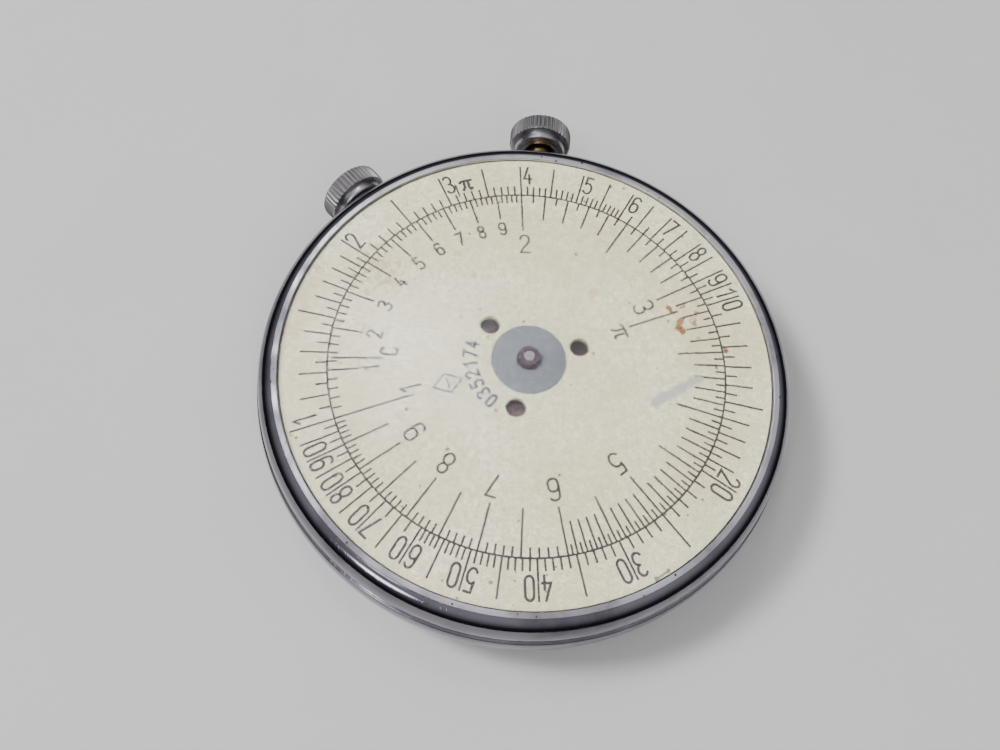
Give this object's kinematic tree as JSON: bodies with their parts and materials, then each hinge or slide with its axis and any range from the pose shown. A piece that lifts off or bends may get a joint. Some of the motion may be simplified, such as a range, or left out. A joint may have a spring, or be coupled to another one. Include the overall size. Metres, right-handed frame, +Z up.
{
  "type": "circular slide rule",
  "caption": "Watch-shaped circular slide rule: a round case with a clear crystal over a rotating logarithmic dial, a second fixed dial and pointer at the back, and knurled crowns on the rim.",
  "frame": {"origin": "centre of the flat outer face of the back crystal, on the case's axis", "axes": "+Z up out of the front dial, +Y out along the dial crown's stem, +X to the right seen from the front with the dial crown pointing away"},
  "size_m": [0.0508, 0.0556, 0.0109],
  "materials": {
    "case_chrome": "polished plating, satin and scratched on the narrow front lip",
    "crystal": "clear acrylic with fine scratches",
    "dial_enamel": "aged cream enamel with printed scales",
    "hub_gray": "smooth satin gray",
    "seat_copper": "turned, tarnished pink",
    "works_brass": "turned and milled",
    "works_steel": "turned",
    "tube_brass": "turned, tarnished",
    "crown_nickel": "nickel plated, worn between the knurls",
    "dot_black": "enamel",
    "dot_red": "enamel"
  },
  "bodies": {
    "case": {"case_ring": "case_chrome", "front_bezel": "case_chrome", "back_bezel": "case_chrome", "front_crystal": "crystal", "back_crystal": "crystal", "base_plate": "works_brass", "plate_screws": "works_steel", "wheel_bridge": "works_brass", "bridge_pillars": "works_brass", "bridge_screws": "works_steel", "centre_bushing": "works_brass", "plate_bushing": "works_brass", "bushing_clip": "works_steel", "dial_friction_washer": "works_steel", "pointer_friction_washer": "works_steel", "back_dial": "dial_enamel", "dial_crown_tube": "tube_brass", "dial_stem_post": "works_brass", "pointer_crown_tube": "tube_brass", "pointer_stem_post": "works_brass", "post_screws": "works_steel"},
    "dial_set": {"front_dial": "dial_enamel", "dial_hub": "works_brass", "dial_hub_cap": "hub_gray", "dial_wheel": "works_brass", "wheel_screws": "works_steel"},
    "pointer_set": {"arbor": "works_steel", "pointer_seat": "seat_copper", "pointer_wheel": "works_brass", "back_pointer_boss": "works_brass", "back_pointer": "works_steel"},
    "dial_crown_set": {"dial_crown": "crown_nickel", "dial_crown_dot": "dot_black", "dial_stem": "works_steel", "dial_pinion": "works_steel", "dial_stem_collar": "works_brass"},
    "pointer_crown_set": {"pointer_crown": "crown_nickel", "pointer_crown_dot": "dot_red", "pointer_stem": "works_steel", "pointer_pinion": "works_steel", "pointer_stem_collar": "works_brass"}
  },
  "joints": [
    {"name": "dial_spin", "type": "hinge", "parent": "case", "child": "dial_set", "pos_m": [0, 0, 0.0087], "axis": [0, 0, 1], "continuous": true},
    {"name": "pointer_spin", "type": "hinge", "parent": "case", "child": "pointer_set", "pos_m": [0, 0, 0.0052], "axis": [0, 0, 1], "continuous": true},
    {"name": "dial_crown_spin", "type": "hinge", "parent": "case", "child": "dial_crown_set", "pos_m": [0, 0.0225, 0.0052], "axis": [0, 1, 0], "continuous": true},
    {"name": "pointer_crown_spin", "type": "hinge", "parent": "case", "child": "pointer_crown_set", "pos_m": [-0.01591, 0.01591, 0.0052], "axis": [-0.7071, 0.7071, 0], "continuous": true}
  ],
  "couplings": [
    {"joint": "dial_crown_spin", "follows": "dial_spin", "ratio": -7.2},
    {"joint": "pointer_crown_spin", "follows": "pointer_spin", "ratio": 4}
  ]
}
